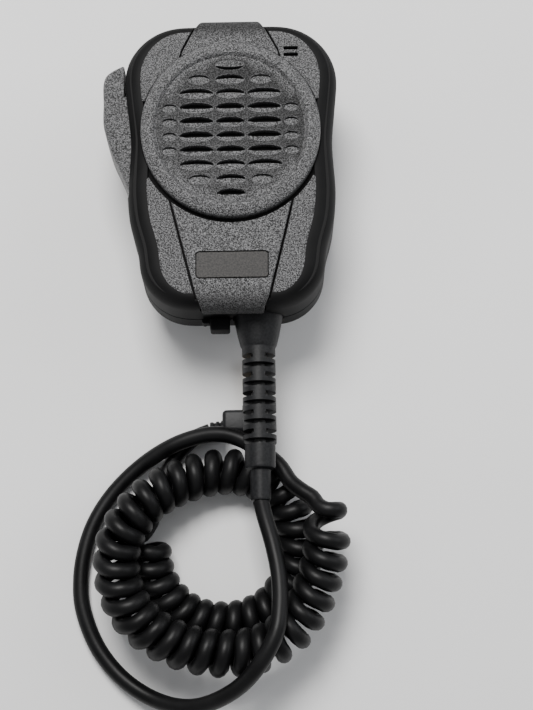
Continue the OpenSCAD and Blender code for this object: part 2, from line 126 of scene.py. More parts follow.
paper_white, tree, shader, add = new_material("table_top")
coords = add("ShaderNodeTexCoord").outputs["Object"]
cloudy = add("ShaderNodeTexNoise", [(coords, "Vector")], Scale=9.0)
tree.links.new(two_tones(add, cloudy.outputs["Fac"], (0.8, 0.8, 0.8), (0.84, 0.84, 0.84)),
               shader.inputs["Base Color"])
shader.inputs["Roughness"].default_value = 0.7
floor_mesh = bpy.data.meshes.new("floor")
floor_mesh.from_pydata([(-4, -4, 0), (4, -4, 0), (4, 4, 0), (-4, 4, 0)], [], [(0, 1, 2, 3)])
floor = bpy.data.objects.new("floor", floor_mesh)
floor_mesh.materials.append(paper_white)
bpy.context.scene.collection.objects.link(floor)


# ---------------------------------------------------------------- cord
# A four-core cable in a satin black vinyl jacket. It leaves the boot, lies in one big loop,
# winds into two rounds of tight curls and ends in a short tail at the plug.
cord_d = 4.6
curl_r = (13.4 - cord_d) / 2
turn_pitch = 5.35
turn_points = 16
leads_to_curl = [
    (6.9, -94.1, 22), (8, -99, 22), (10, -106.5, 22.6), (11.5, -115, 23.8),
    (11.6, -124, 25.6), (10.4, -131, 26.9), (6.2, -138.6, 25.6), (0, -144.8, 20),
    (-9, -148.8, 13), (-15.6, -149.2, 9.2), (-24.2, -146.6, 5), (-33, -140.6, 2.9),
    (-40, -131.8, 2.3), (-44.2, -120.8, 2.3), (-44.8, -113.6, 2.3), (-44, -106, 2.3),
    (-41.2, -97, 2.3), (-35.6, -88.2, 2.6), (-27, -80.2, 4.2), (-17.4, -75, 7.2),
    (-9, -72.8, 8.8), (-3.2, -73, 10), (1.6, -74.8, 11.2), (7, -78.4, 12.4),
    (12, -82.6, 13.8), (15.4, -88, 15.8), (18.6, -91, 17.6), (21.5, -93.2, 18.8)]
curl_axis = [
    (21.5, -93.2, 18.8), (24.2, -97, 18.2), (25, -102, 17.9), (24.6, -108, 17.8),
    (22.8, -115, 17.8), (19.8, -122, 17.8), (14.8, -129, 17.8), (7.4, -133.8, 17.8),
    (0, -135.4, 17.8), (-7.4, -135.2, 17.8), (-14.6, -133.6, 17.8), (-21.6, -130.4, 17.8),
    (-28, -125.2, 17.8), (-31.9, -118.4, 17.8), (-33.3, -111, 17.8), (-32.4, -103.6, 17.6),
    (-28.4, -96.2, 16), (-21.6, -89.6, 12.6), (-12.4, -85, 8.7), (-3.8, -83.2, 6.9),
    (4.2, -84.2, 6.7), (10.6, -87.8, 6.7), (15, -93.8, 6.7), (17.2, -101, 6.7),
    (17.2, -109, 6.7), (14.6, -116.2, 6.7), (9.6, -122.2, 6.7), (3, -125.6, 6.7),
    (-4, -126.7, 6.7), (-11.4, -125.4, 6.7), (-18, -121.4, 6.7), (-22.6, -115.6, 6.7),
    (-25, -108.6, 6.7), (-25.2, -102, 6.7)]
leads_to_plug = [
    (-24.8, -96.6, 2.3), (-23.6, -91, 2.3), (-21.6, -85.4, 2.3), (-19, -79.8, 2.3),
    (-15.6, -75.4, 2.4), (-11.8, -72.2, 2.9), (-7.6, -70.6, 3.6)]


def smooth_line(points, step):
    """Points about a step apart on a centripetal Catmull-Rom curve through the given ones."""
    p = np.array(points, float)
    p = np.vstack([2 * p[0] - p[1], p, 2 * p[-1] - p[-2]])
    knots = np.concatenate([[0], np.cumsum(np.linalg.norm(np.diff(p, axis=0), axis=1) ** 0.5)])
    dense = []
    for i in range(1, len(p) - 2):
        t0, t1, t2, t3 = knots[i - 1:i + 3]
        t = np.linspace(t1, t2, 12, endpoint=False)[:, None]
        a1 = (t1 - t) / (t1 - t0) * p[i - 1] + (t - t0) / (t1 - t0) * p[i]
        a2 = (t2 - t) / (t2 - t1) * p[i] + (t - t1) / (t2 - t1) * p[i + 1]
        a3 = (t3 - t) / (t3 - t2) * p[i + 1] + (t - t2) / (t3 - t2) * p[i + 2]
        b1 = (t2 - t) / (t2 - t0) * a1 + (t - t0) / (t2 - t0) * a2
        b2 = (t3 - t) / (t3 - t1) * a2 + (t - t1) / (t3 - t1) * a3
        dense.append((t2 - t) / (t2 - t1) * b1 + (t - t1) / (t2 - t1) * b2)
    dense = np.vstack(dense + [p[-2:-1]])
    run = np.concatenate([[0], np.cumsum(np.linalg.norm(np.diff(dense, axis=0), axis=1))])
    even = np.linspace(0, run[-1], max(2, round(run[-1] / step)) + 1)
    return np.column_stack([np.interp(even, run, dense[:, k]) for k in range(3)])


def curls():
    """Points along the curly stretch. The first turn opens out of the lead."""
    axis = smooth_line(leads_to_curl[-3:-1] + curl_axis, 0.25)
    axis = axis[int(np.argmin(np.linalg.norm(axis - curl_axis[0], axis=1))):]
    run = np.concatenate([[0], np.cumsum(np.linalg.norm(np.diff(axis, axis=0), axis=1))])
    tangent = np.gradient(axis, axis=0)
    tangent /= np.linalg.norm(tangent, axis=1)[:, None]
    side = np.cross(tangent, (0, 0, 1))
    side /= np.linalg.norm(side, axis=1)[:, None]
    up = np.cross(side, tangent)
    loosened = 1 + 4 * np.exp(-run / 3.5)
    angle = np.concatenate([[0], np.cumsum(np.diff(run) / (turn_pitch * loosened[1:]))])
    turns = round(angle[-1]) + 23 / 36
    angle *= math.tau * turns / angle[-1]
    points = []
    for share in np.arange(0, round(turn_points * turns)) * math.tau / turn_points:
        i = min(int(np.searchsorted(angle, share)), len(axis) - 1)
        phase = math.radians(40) + share
        opened = min(1.0, run[i] / 5)
        widen = opened ** 2 * (3 - 2 * opened)
        across = math.cos(phase) * side[i] + math.sin(phase) * up[i]
        lean = -0.5 * curl_r * math.sin(phase) * tangent[i][1] * widen
        points.append(axis[i] + curl_r * widen * across + lean * tangent[i])
    return points


cord_route = smooth_line(leads_to_curl[:-1] + [tuple(p) for p in curls()] + leads_to_plug, 1.25)


def tube_mesh(name, line, radius, sides):
    """A closed round tube along a line of points in millimetres; radius may be a function."""
    line = np.array(line, float)
    tangent = np.gradient(line, axis=0)
    tangent /= np.linalg.norm(tangent, axis=1)[:, None]
    across = np.cross(tangent[0], (0.1, 0.2, 1))
    mesh = bmesh.new()
    rings = []
    for i, (point, t) in enumerate(zip(line, tangent)):
        across = across - np.dot(across, t) * t
        across /= np.linalg.norm(across)
        other = np.cross(t, across)
        r = radius(i / (len(line) - 1)) if callable(radius) else radius
        rings.append([mesh.verts.new((point + r * (
            math.cos(math.tau * k / sides) * across + math.sin(math.tau * k / sides) * other)) * MM)
            for k in range(sides)])
    for a, b in zip(rings, rings[1:]):
        for k in range(sides):
            mesh.faces.new((a[k], a[(k + 1) % sides], b[(k + 1) % sides], b[k]))
    mesh.faces.new(list(reversed(rings[0])))
    mesh.faces.new(rings[-1])
    return finished(name, mesh)


def added(name, data):
    """A new object in the scene, with the given mesh."""
    piece = bpy.data.objects.new(name, data)
    bpy.context.scene.collection.objects.link(piece)
    return piece


def built(name, mesh):
    """The object made from a bmesh, as it is. The bmesh is used up."""
    data = bpy.data.meshes.new(name)
    mesh.to_mesh(data)
    mesh.free()
    return added(name, data)


def finished(name, mesh, flat_above=40):
    """The object made from a bmesh, smooth except over sharp edges."""
    bmesh.ops.recalc_face_normals(mesh, faces=mesh.faces)
    for face in mesh.faces:
        face.smooth = True
    for edge in mesh.edges:
        if len(edge.link_faces) == 2 and edge.calc_face_angle(0) > math.radians(flat_above):
            edge.smooth = False
    return built(name, mesh)


def dress(piece, material, slot, body, *nodes):
    """Gives a piece its finish and its body, in place of CAD nodes. The slot argument is not used."""
    piece.data.materials.clear()
    piece.data.materials.append(material)
    if nodes:
        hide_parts(*nodes)
    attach(piece, body)
    return piece


def worn_finish(name, grain, wear, low, high, roughness, specular):
    """Two tones and a roughness that drift together, over a fine grain.

    The grain is given as (scale, strength, depth) and the wear as (scale, detail).
    """
    material, tree, shader, add = new_material(name)
    coords = add("ShaderNodeTexCoord").outputs["Object"]
    fine_bump(tree, shader, add, coords, *grain)
    worn = add("ShaderNodeTexNoise", [(coords, "Vector")], Scale=wear[0], Detail=wear[1])
    tree.links.new(two_tones(add, worn.outputs["Fac"], low, high),
                   shader.inputs["Base Color"])
    rough = add("ShaderNodeMapRange", [(worn.outputs["Fac"], "Value")],
                To_Min=roughness[0], To_Max=roughness[1])
    tree.links.new(rough.outputs["Result"], shader.inputs["Roughness"])
    shader.inputs["Specular IOR Level"].default_value = specular
    return material


jacket = worn_finish("cord_jacket", (900, 0.25, 0.0001), (120, 4), (0.002, 0.002, 0.0022),
                     (0.005, 0.005, 0.0054), (0.38, 0.5), 0.2)
cord = tube_mesh("cord", cord_route, cord_d / 2, 14)
dress(cord, jacket, "cord_pvc", "housing", "cord_lead", "cord_coil_outer", "cord_coil_inner",
      "cord_tail")


# ---------------------------------------------------------------- plug
# A right-angled 3.5 mm jack plug: a moulded rubbery body with grip ribs and a gold-plated
# four-pole shaft whose poles are parted by black plastic rings.
moulded_rubber = worn_finish("moulded_rubber", (1500, 0.35, 0.0001), (160, 5),
                             (0.006, 0.0062, 0.007), (0.013, 0.0134, 0.0145), (0.38, 0.55), 0.25)


def rounded_box(name, low, high, radius, segments=4):
    """A box with rounded edges, in millimetres."""
    mesh = bmesh.new()
    low, high = Vector(low), Vector(high)
    size = high - low
    bmesh.ops.create_cube(mesh, size=1, matrix=Matrix.Translation((low + high) / 2) @ Matrix.Diagonal(
        (*size, 1)))
    bmesh.ops.bevel(mesh, geom=mesh.edges[:], offset=radius, segments=segments, profile=0.5,
                    affect="EDGES", clamp_overlap=True)
    bmesh.ops.scale(mesh, vec=(MM, MM, MM), verts=mesh.verts)
    return finished(name, mesh, 60)


def joined(name, pieces):
    """One object out of several; each keeps its own closed surface."""
    mesh = bmesh.new()
    for piece in pieces:
        mesh.from_mesh(piece.data)
        bpy.data.objects.remove(piece)
    return built(name, mesh)


def turned(name, profile, origin, axis, sides=48):
    """A solid of revolution in millimetres; profile is (radius, height) from end to end."""
    mesh = bmesh.new()
    turn = Vector((0, 0, 1)).rotation_difference(Vector(axis)).to_matrix()
    rings = []
    for radius, height in profile:
        if radius < 1e-6:
            rings.append([mesh.verts.new((Vector(origin) + turn @ Vector((0, 0, height))) * MM)])
            continue
        rings.append([mesh.verts.new((Vector(origin) + turn @ Vector((
            radius * math.cos(math.tau * k / sides), radius * math.sin(math.tau * k / sides),
            height))) * MM) for k in range(sides)])
    for a, b in zip(rings, rings[1:]):
        for k in range(sides):
            j = (k + 1) % sides
            if len(a) == 1:
                mesh.faces.new((a[0], b[k], b[j]))
            elif len(b) == 1:
                mesh.faces.new((a[k], a[j], b[0]))
            else:
                mesh.faces.new((a[k], a[j], b[j], b[k]))
    return finished(name, mesh, 35)


plug_y = -68.2
plug_z = 3.6
plug = joined("plug_moulding", [
    rounded_box("plug_block", (-4, plug_y - 3.3, 0.2), (9, plug_y + 3.3, 7), 1.3, 5),
    turned("plug_relief", [(0, 0), (2.45, 0), (2.6, 0.3), (2.6, 0.9), (2.35, 1.1), (2.35, 1.6),
                           (2.75, 1.8), (2.8, 2.5), (2.5, 2.7), (2.5, 3.1), (3, 3.3), (3, 4.4),
                           (0, 4.4)], (-7.6, plug_y - 2.4, plug_z), (1, 0, 0), 32),
    turned("plug_collar", [(0, -0.5), (3.2, -0.5), (3.2, 1.7), (2.9, 2), (0, 2)],
           (5, plug_y + 3.2, plug_z), (0, 1, 0), 40)])
dress(plug, moulded_rubber, "boot_rubber", "housing", "plug_body")


# ---------------------------------------------------------------- rear shell
# The back half of the housing, in dark grey grained plastic. Its rim meets the front half on
# a seal, and it has seats for four screws and a round recess for the clip.
top_r = 17.0
foot_r = 14.0
top_y = 42.4
foot_y = -42.0
half_w = 30.7
foot_corner_x = 12.2
rim_count = 360
seam_z = 22.0
back_z = 11.0
rubber_seat = 1.9
inner_wall = 3.9
boot_x = 6.9
socket_x = -3.9
screw_places = [(21, 27.5), (-21, 27.5), (17.5, -29.5), (-17.5, -29.5)]


def housing_rim():
    """Points round the housing, clockwise from the middle of its top, and their normals."""
    corner = [(half_w - top_r + top_r * math.sin(a), top_y - top_r + top_r * math.cos(a))
              for a in np.linspace(0, math.pi / 2, 40)]
    foot = [(foot_corner_x + foot_r * math.cos(a), foot_y + foot_r + foot_r * math.sin(a))
            for a in np.linspace(math.radians(8), -math.pi / 2, 40)]
    side = [(half_w - 2, 7), (half_w - 1.1, -8), (half_w - 1.8, -16.5)]
    half = [(0, top_y)] + corner + side + foot + [(0, foot_y)]
    line = np.array(half + [(-x, y) for x, y in reversed(half)][1:])
    run = np.concatenate([[0], np.cumsum(np.linalg.norm(np.diff(line, axis=0), axis=1))])
    even = np.linspace(0, run[-1], rim_count, endpoint=False)
    points = np.column_stack([np.interp(even, run, line[:, k]) for k in (0, 1)])
    shifts = range(-9, 10)
    weights = np.exp(-0.5 * (np.array(shifts) / 3.2) ** 2)
    weights /= weights.sum()
    points = sum(w * np.roll(points, k, axis=0) for w, k in zip(weights, shifts))
    along = np.roll(points, -1, axis=0) - np.roll(points, 1, axis=0)
    along /= np.linalg.norm(along, axis=1)[:, None]
    return points, np.column_stack([-along[:, 1], along[:, 0]])


rim, rim_normal = housing_rim()


def lip_inset():
    """How far in the rubber reaches over the face, narrow at the ends and broad at the sides."""
    low = np.clip((15 - rim[:, 1]) / 20, 0, 1)
    return 3.2 + (1.9 + 0.8 * low) * np.abs(rim_normal[:, 0]) ** 1.3


lip = lip_inset()


def rim_ring(mesh, inset, z):
    """Vertices round the housing at an inset from its outline, in millimetres."""
    return [mesh.verts.new((x * MM, y * MM, z * MM)) for x, y in rim - inset * rim_normal]


def bridge(mesh, rings, closed=False):
    """Faces between rings that have the same number of vertices."""
    for a, b in zip(rings, rings[1:] + rings[:1] if closed else rings[1:]):
        for k in range(len(a)):
            j = (k + 1) % len(a)
            mesh.faces.new((a[k], a[j], b[j], b[k]))


def smoothed(piece, angle=32):
    """Shades a piece smooth, with creases over sharp edges and flats that stay flat."""
    for polygon in piece.data.polygons:
        polygon.use_smooth = True
    piece.data.set_sharp_from_angle(angle=math.radians(angle))
    weighted = piece.modifiers.new("weighted", "WEIGHTED_NORMAL")
    weighted.keep_sharp = True
    weighted.weight = 100
    return applied(piece)


def applied(piece):
    """Puts a piece's modifiers into its mesh."""
    bpy.context.view_layer.update()
    data = bpy.data.meshes.new_from_object(
        piece.evaluated_get(bpy.context.evaluated_depsgraph_get()))
    piece.modifiers.clear()
    piece.data = data
    return piece


def carved(piece, cutters):
    """The piece with the cutters' shapes taken out of it. The cutters are used up."""
    for cutter in cutters:
        modifier = piece.modifiers.new("carve", "BOOLEAN")
        modifier.operation = "DIFFERENCE"
        modifier.solver = "EXACT"
        modifier.object = cutter
    applied(piece)
    for cutter in cutters:
        bpy.data.objects.remove(cutter)
    return piece


def copies_tree(name):
    """Geometry nodes that put copies of one object on points, stretched and turned one by one."""
    tree = bpy.data.node_groups.new(name, "GeometryNodeTree")
    for label, kind in (("Places", "Geometry"), ("Shape", "Object"), ("Finish", "Material")):
        tree.interface.new_socket(label, in_out="INPUT", socket_type="NodeSocket" + kind)
    tree.interface.new_socket("Copies", in_out="OUTPUT", socket_type="NodeSocketGeometry")
    given = tree.nodes.new("NodeGroupInput")
    shape = tree.nodes.new("GeometryNodeObjectInfo")
    stretch = tree.nodes.new("GeometryNodeInputNamedAttribute")
    stretch.data_type = "FLOAT_VECTOR"
    stretch.inputs["Name"].default_value = "stretch"
    turn = tree.nodes.new("GeometryNodeInputNamedAttribute")
    turn.data_type = "FLOAT_VECTOR"
    turn.inputs["Name"].default_value = "turn"
    placed = tree.nodes.new("GeometryNodeInstanceOnPoints")
    real = tree.nodes.new("GeometryNodeRealizeInstances")
    finish = tree.nodes.new("GeometryNodeSetMaterial")
    result = tree.nodes.new("NodeGroupOutput")
    for source, target in (
            (given.outputs["Shape"], shape.inputs["Object"]),
            (given.outputs["Places"], placed.inputs["Points"]),
            (shape.outputs["Geometry"], placed.inputs["Instance"]),
            (turn.outputs["Attribute"], placed.inputs["Rotation"]),
            (stretch.outputs["Attribute"], placed.inputs["Scale"]),
            (placed.outputs["Instances"], real.inputs["Geometry"]),
            (real.outputs["Geometry"], finish.inputs["Geometry"]),
            (given.outputs["Finish"], finish.inputs["Material"]),
            (finish.outputs["Geometry"], result.inputs["Copies"])):
        tree.links.new(source, target)
    return tree


place_copies = copies_tree("place_copies")


def repeated(name, shape, places, finish, stretch=None, turn=None):
    """One mesh of copies of a shape at places in millimetres. The shape is used up."""
    mesh = bpy.data.meshes.new(name)
    mesh.from_pydata([Vector(p) * MM for p in places], [], [])
    for label, values, usual in (("stretch", stretch, (1, 1, 1)), ("turn", turn, (0, 0, 0))):
        attribute = mesh.attributes.new(label, "FLOAT_VECTOR", "POINT")
        for i in range(len(places)):
            attribute.data[i].vector = values[i] if values else usual
    piece = added(name, mesh)
    modifier = piece.modifiers.new("copies", "NODES")
    modifier.node_group = place_copies
    sockets = {item.name: item.identifier for item in place_copies.interface.items_tree
               if item.in_out == "INPUT"}
    modifier[sockets["Shape"]] = shape
    modifier[sockets["Finish"]] = finish
    applied(piece)
    bpy.data.objects.remove(shape)
    return piece


def rod(name, low, high, radius, sides=48):
    """A plain round rod between two points in millimetres, for carving."""
    low, high = Vector(low), Vector(high)
    return turned(name, [(0, 0), (radius, 0), (radius, (high - low).length),
                         (0, (high - low).length)], low, high - low, sides)


grained_plastic, tree, shader, add = new_material("grained_plastic")
coords = add("ShaderNodeTexCoord").outputs["Object"]
pits = add("ShaderNodeTexNoise", [(coords, "Vector")], Scale=2900.0, Detail=1.5)
fine = add("ShaderNodeTexNoise", [(coords, "Vector")], Scale=5200.0, Detail=1.0)
grain = add("ShaderNodeMix", [(pits.outputs["Fac"], "A"), (fine.outputs["Fac"], "B")],
            Factor=0.35)
bump = add("ShaderNodeBump", [(grain.outputs["Result"], "Height")], Strength=1.0, Distance=0.0006)
tree.links.new(bump.outputs["Normal"], shader.inputs["Normal"])
speckled = two_tones(add, grain.outputs["Result"], (0.001, 0.001, 0.0012),
                     (0.24, 0.24, 0.245), (0.42, 0.64))
# Painted shade: where the vertex mask attribute is set, the base colour is mixed towards near black and
# the roughness is raised to full.
painted_shade = add("ShaderNodeAttribute", attribute_name="painted_shade")
darkened = add("ShaderNodeMix", data_type="RGBA")
tree.links.new(painted_shade.outputs["Fac"], darkened.inputs["Factor"])
tree.links.new(speckled, darkened.inputs["A"])
darkened.inputs["B"].default_value = (0.0005, 0.0005, 0.0005, 1)
tree.links.new(darkened.outputs["Result"], shader.inputs["Base Color"])
worn = add("ShaderNodeTexNoise", [(coords, "Vector")], Scale=70.0, Detail=3.0)
rough = add("ShaderNodeMapRange", [(worn.outputs["Fac"], "Value")], To_Min=0.42, To_Max=0.5)
dulled = add("ShaderNodeMix", [(painted_shade.outputs["Fac"], "Factor"), (rough.outputs["Result"], "A")],
             B=1.0)
tree.links.new(dulled.outputs["Result"], shader.inputs["Roughness"])
shader.inputs["Specular IOR Level"].default_value = 0.44


def paint_shade_below(piece, low, high):
    """Paints shade on the parts below a height, as a mask that darkens the grained plastic there; low and
    high are in millimetres.
    """
    shade_mark = piece.data.attributes.new("painted_shade", "FLOAT", "POINT")
    for i, vertex in enumerate(piece.data.vertices):
        shade_mark.data[i].value = min(1.0, max(0.0, (high - vertex.co.z / MM) / (high - low)))
    return shade_mark


def foot_way(name, x, radius):
    """A round way through the foot of the housing, at its seam."""
    return rod(name, (x, -36, seam_z), (x, -46, seam_z), radius)


def shell_openings():
    """The ways through both shells for the boot, the earphone socket and the talk paddle."""
    return [foot_way("boot_way", boot_x, 4.3), foot_way("socket_way", socket_x, 3.0),
            rounded_box("paddle_way", (-33, -8.8, 16.6), (-24.2, 22.2, 33.4), 0.5)]


mesh = bmesh.new()
back_profile = [(inner_wall, seam_z), (rubber_seat, seam_z), (rubber_seat, 14.2), (2.2, 13.2),
                (3.0, 12.1), (4.2, 11.3), (5.4, back_z)]
rings = [rim_ring(mesh, inset, z) for inset, z in back_profile]
bridge(mesh, rings)
mesh.faces.new(rings[-1])
inner_floor = rim_ring(mesh, inner_wall, 13.6)
bridge(mesh, [inner_floor, rings[0]])
mesh.faces.new(inner_floor)
rear = finished("rear_housing", mesh)
rear = carved(rear, [rod("seat", (x, y, 9), (x, y, 12.5), 2.45) for x, y in screw_places] + [
    rod("clip_recess", (0, 0, 9), (0, 0, 11.8), 6.4)] + shell_openings())
rear = smoothed(rear)
dress(rear, grained_plastic, "shell_plastic", "housing", "rear_shell")


# ---------------------------------------------------------------- housing screws
# Four black-zinc steel screws with pan heads and cross recesses. They pass through the rear
# shell into the bosses of the front shell.
dark_steel, tree, shader, add = new_material("dark_steel")
coords = add("ShaderNodeTexCoord").outputs["Object"]
brushed = fine_bump(tree, shader, add, coords, 1800, 0.3, 0.00005)
tree.links.new(two_tones(add, brushed.outputs["Fac"], (0.16, 0.16, 0.165), (0.3, 0.3, 0.3)),
               shader.inputs["Base Color"])
shader.inputs["Metallic"].default_value = 1.0
shader.inputs["Roughness"].default_value = 0.34
screw = turned("screw", [(0, -1.3), (1.0, -1.3), (1.7, -1.15), (2.0, -0.75), (2.05, -0.3),
                         (2.05, 0), (1.1, 0), (1.1, 10), (0.7, 13), (0, 14)],
               (0, 0, 0), (0, 0, 1), 36)
screw = carved(screw, [rounded_box("cross_a", (-1.3, -0.3, -2), (1.3, 0.3, -0.55), 0.1, 2),
                       rounded_box("cross_b", (-0.3, -1.3, -2), (0.3, 1.3, -0.55), 0.1, 2)])
screws = repeated("rear_screws", smoothed(screw), [(x, y, back_z + 1.45) for x, y in screw_places],
                  dark_steel, turn=[(0, 0, 0.3), (0, 0, 1.1), (0, 0, 0.7), (0, 0, 1.4)])
dress(screws, dark_steel, "spring_steel", "housing", "housing_screws")


# ---------------------------------------------------------------- works inside the housing
# Seal, circuit board, switch, cable end, microphone capsule and loudspeaker, as they would
# be found on a bench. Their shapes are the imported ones, and each gets its own finish.
def plain_finish(name, low, high, roughness, grain_scale, metallic=0.0, depth=0.00006,
                 specular=0.5):
    """A two-toned finish with a fine even grain."""
    material, tree, shader, add = new_material(name)
    coords = add("ShaderNodeTexCoord").outputs["Object"]
    grain = fine_bump(tree, shader, add, coords, grain_scale, 0.4, depth)
    tree.links.new(two_tones(add, grain.outputs["Fac"], low, high),
                   shader.inputs["Base Color"])
    shader.inputs["Metallic"].default_value = metallic
    shader.inputs["Roughness"].default_value = roughness
    shader.inputs["Specular IOR Level"].default_value = specular
    return material


inner_finishes = {
    "seal_rubber": (((0.006, 0.006, 0.006), (0.014, 0.014, 0.014), 0.6, 1500),
                    ["housing_seal", "speaker_gasket", "mic_holder", "paddle_membrane"]),
    "cloth_black": (((0.008, 0.008, 0.008), (0.03, 0.03, 0.03), 0.9, 2600),
                    ["dust_cloth", "mic_mesh"]),
    "bright_steel": (((0.5, 0.5, 0.5), (0.66, 0.66, 0.65), 0.3, 1800, 1.0),
                     ["speaker_basket", "speaker_screws", "top_plate", "magnet_yoke", "mic_capsule",
                      "board_screws", "paddle_pin", "clamp_screws"]),
    "ferrite": (((0.018, 0.018, 0.02), (0.035, 0.035, 0.037), 0.7, 900), ["speaker_magnet"]),
    "paper_cone": (((0.03, 0.029, 0.027), (0.055, 0.052, 0.048), 0.85, 1100), ["speaker_cone"]),
    "copper": (((0.6, 0.27, 0.13), (0.75, 0.38, 0.2), 0.35, 3000, 1.0), ["voice_coil"]),
    "board_lacquer": (((0.012, 0.09, 0.035), (0.02, 0.14, 0.055), 0.4, 400), ["circuit_board"]),
    "red_wire": (((0.35, 0.02, 0.015), (0.5, 0.03, 0.02), 0.45, 900),
                 ["speaker_leads", "inner_wires"]),
    "nylon_white": (((0.6, 0.59, 0.55), (0.7, 0.69, 0.65), 0.5, 700), ["wire_connector"]),
    "switch_plastic": (((0.04, 0.04, 0.042), (0.07, 0.07, 0.073), 0.5, 1500),
                       ["talk_switch", "switch_plunger", "earphone_socket", "cable_clamp"]),
    "cable_end": (((0.008, 0.008, 0.008), (0.016, 0.016, 0.016), 0.4, 900), ["cable_core"]),
}


def paint(finish, nodes):
    """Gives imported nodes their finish."""
    for node in nodes:
        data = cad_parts[node].data
        data.materials.clear()
        data.materials.append(finish)


for name, (values, nodes) in inner_finishes.items():
    paint(plain_finish(name, *values), nodes)


# ---------------------------------------------------------------- front shell
# The front half of the housing, in dark grey plastic with a spark-eroded grain on four raised
# fields. Two short slots in the upper right field let sound in to the microphone.
grille_y = 9.2
grille_rx = 25.4
grille_ry = 26.2
oval_count = 144
plate_z = 36.0
field_z = 37.3
shell_hole_r = 19.2
shell_under_z = 33.9
spine_edge = [(8.2, 43.6), (13.8, 32.6), (16.9, -11.8), (10.1, -39.5), (8.8, -43)]


def spine_half(y):
    """Half the width of the spine panel at a height on the face."""
    ys = [p[1] for p in reversed(spine_edge)]
    return float(np.interp(y, ys, [p[0] for p in reversed(spine_edge)]))


def inset_loop(points, insets):
    """A loop (counter-clockwise) drawn in by its own inset along each edge."""
    points = np.array(points, float)
    edge = np.roll(points, -1, axis=0) - points
    edge /= np.linalg.norm(edge, axis=1)[:, None]
    inward = np.column_stack([-edge[:, 1], edge[:, 0]])
    result = []
    for i, point in enumerate(points):
        a, b = inward[i - 1], inward[i]
        da, db = insets[i - 1], insets[i]
        cross = a[0] * b[1] - a[1] * b[0]
        if abs(cross) < 0.12:
            result.append(point + (a + b) / 2 * (da + db) / 2)
        else:
            result.append(point + np.array([(da * b[1] - db * a[1]) / cross,
                                            (db * a[0] - da * b[0]) / cross]))
    return result


def raised_plate(name, loop, levels, rolls):
    """A flat-topped plate over a loop; levels are (share of each edge's roll, height)."""
    mesh = bmesh.new()
    rings = []
    for share, z in levels:
        ring = inset_loop(loop, [share * roll for roll in rolls])
        rings.append([mesh.verts.new((x * MM, y * MM, z * MM)) for x, y in ring])
    bridge(mesh, rings)
    mesh.faces.new(rings[-1])
    mesh.faces.new(list(reversed(rings[0])))
    return finished(name, mesh)


def grille_edge(grow, angle):
    """A point on the grille's outline, moved out by a distance."""
    return np.array(((grille_rx + grow) * math.cos(angle),
                     grille_y + (grille_ry + grow) * math.sin(angle)))


def grille_oval(grow):
    """Points all round the grille's outline, moved out by a distance."""
    return [grille_edge(grow, math.tau * k / oval_count) for k in range(oval_count)]


def outside_grille(point, grow):
    """How far a point lies outside the grille's outline, in millimetres."""
    angle = math.atan2((point[1] - grille_y) / grille_ry, point[0] / grille_rx)
    return math.hypot(point[0], point[1] - grille_y) - np.linalg.norm(
        grille_edge(grow, angle) - (0, grille_y))


def field(name, side, upper):
    """One grained field between the rubber, the spine and the grille."""
    gap = 0.3 if upper else 1.2
    groove = 0.6
    edge = rim - (lip - 0.25)[:, None] * rim_normal
    outer = [p for p in edge[:rim_count // 2] if (p[1] > grille_y) == upper
             and p[0] > spine_half(p[1]) + 2.4 and outside_grille(p, gap) > 0.7]
    if not upper:
        outer = outer[::-1]
    outer.insert(0, np.array((spine_half(outer[0][1]) + groove, outer[0][1])))
    sign = 1 if upper else -1
    start = math.atan2((outer[-1][1] - grille_y) / grille_ry, outer[-1][0] / grille_rx)
    arc = [grille_edge(gap, a) for a in np.linspace(start, sign * math.radians(80), 60)]
    arc = [p for p in arc if p[0] > spine_half(p[1]) + groove]
    beside = np.linspace(arc[-1][1], outer[0][1], 4)[1:-1]
    seam = [np.array((spine_half(y) + groove, y)) for y in beside]
    loop = outer + arc + seam
    rolls = [min(1.7, 0.3 * outside_grille(p, gap)) for p in outer[:-1]] + [0.1]
    rolls += [0.22] * (len(arc) + len(seam))
    if upper:
        loop, rolls = loop[::-1], rolls[-2::-1] + rolls[-1:]
    if side < 0:
        loop, rolls = [(-p[0], p[1]) for p in loop][::-1], rolls[-2::-1] + rolls[-1:]
    shoulder = plate_z + 0.7
    rise = field_z - plate_z - 0.7
    levels = [(0, plate_z - 0.1), (0, shoulder)] + [
        (1 - math.cos(a), shoulder + rise * math.sin(a))
        for a in np.linspace(0.2, math.pi / 2, 7)]
    return raised_plate(name, loop, levels, rolls)


def port_cutters():
    """The two slots in front of the microphone capsule."""
    return [rounded_box("port", (15.35, y - 0.55, 30), (19.5, y + 0.55, 40), 0.35, 3)
            for y in (31.85, 33.85)]


mesh = bmesh.new()
shell_rings = [rim_ring(mesh, inset, z) for inset, z in (
    (inner_wall, shell_under_z), (inner_wall, seam_z), (rubber_seat, seam_z), (rubber_seat, 34.6),
    (2.2, 35.5), (2.9, plate_z))]
around = [math.atan2(y - grille_y, x) for x, y in rim]
for z in (plate_z, shell_under_z):
    shell_rings.append([mesh.verts.new((shell_hole_r * math.cos(a) * MM, (
        grille_y + shell_hole_r * math.sin(a)) * MM, z * MM)) for a in around])
bridge(mesh, shell_rings, closed=True)
front = smoothed(carved(finished("front_plate", mesh), shell_openings() + port_cutters()))
fields = [field("field", side, upper) for side in (-1, 1) for upper in (False, True)]
fields[3] = carved(fields[3], port_cutters())
front = joined("front_housing", [front] + [smoothed(piece) for piece in fields])
# Painted shade on the low parts of the front shell: the grooves between the fields, the spine and the
# rubber, and the fields' lower edges.
paint_shade_below(front, 36.5, 37.0)
dress(front, grained_plastic, "shell_plastic", "housing", "front_shell")


# ---------------------------------------------------------------- spine panel
# One moulded strip in the same grained plastic. It folds over the top end of the housing, runs
# under the grille and folds over the foot. A shallow recess below the grille takes a label.
spine_z = 37.7
label_y = -30.6


